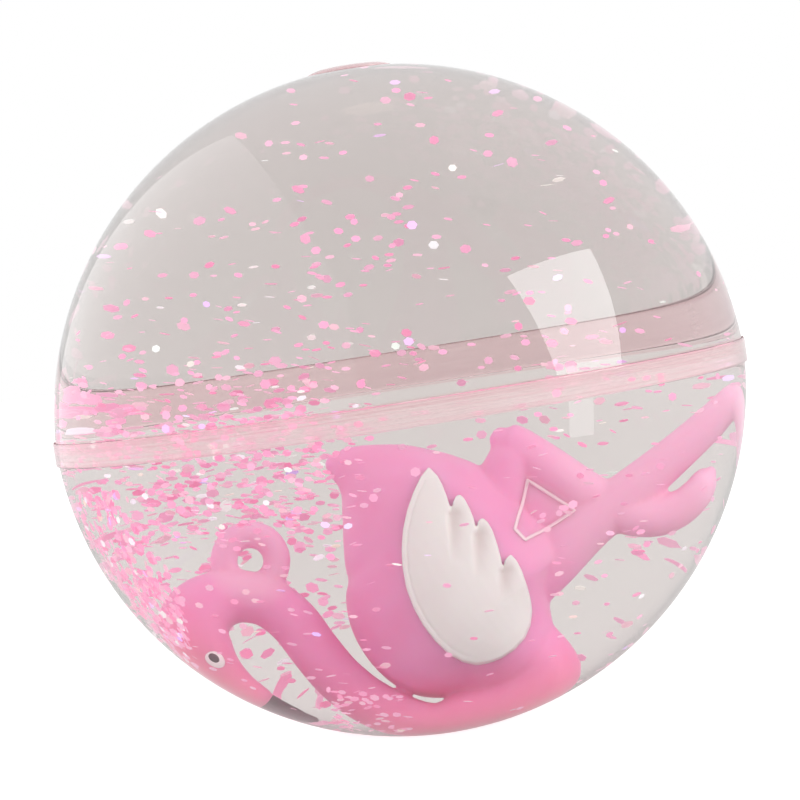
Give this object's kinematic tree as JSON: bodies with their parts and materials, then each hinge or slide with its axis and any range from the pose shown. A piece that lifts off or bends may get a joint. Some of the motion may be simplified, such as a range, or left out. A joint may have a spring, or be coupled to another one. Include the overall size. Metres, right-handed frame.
{
  "type": "water bouncy ball",
  "caption": "Clear soft ball filled with water and glitter, welded round its middle and closed by a fill plug, with a pink flamingo figure tumbling inside.",
  "frame": {"origin": "centre of the ball, midway through the welded seam", "axes": "+Z through the fill plug at the upper pole, the seam in the XY plane, the figure's profile in the XZ plane facing -Y"},
  "size_m": [0.1006, 0.1006, 0.0969],
  "materials": {
    "clear_vinyl": "clear soft vinyl, glossy",
    "weld": "pink-tinted clear vinyl, finely ribbed",
    "plug": "pink-tinted clear vinyl",
    "water": "clear water",
    "flake_pink": "translucent pink film",
    "flake_pearl": "iridescent white film",
    "flake_violet": "iridescent violet film",
    "figure_pink": "soft pink vinyl",
    "figure_white": "white vinyl",
    "eye_white": "white enamel",
    "figure_black": "black enamel"
  },
  "bodies": {
    "shell": {"upper_shell": "clear_vinyl", "lower_shell": "clear_vinyl", "seam_weld": "weld", "fill_plug": "plug"},
    "filling": {"water": "water", "glitter_pink": "flake_pink", "glitter_pearl": "flake_pearl", "glitter_violet": "flake_violet"},
    "figure": {"flamingo_body": "figure_pink", "wing_left": "figure_white", "wing_right": "figure_white", "eye_whites": "eye_white", "pupils": "figure_black", "beak_tip": "figure_black"}
  },
  "joints": [
    {"name": "water_swirl", "type": "hinge", "parent": "shell", "child": "filling", "pos_m": [0, 0, 0], "axis": [0, 0, 1], "continuous": true},
    {"name": "figure_tumble", "type": "hinge", "parent": "filling", "child": "figure", "pos_m": [0, 0, 0], "axis": [0, 1, 0], "continuous": true, "deforming": ["water", "glitter_pink", "glitter_pearl", "glitter_violet"]}
  ]
}
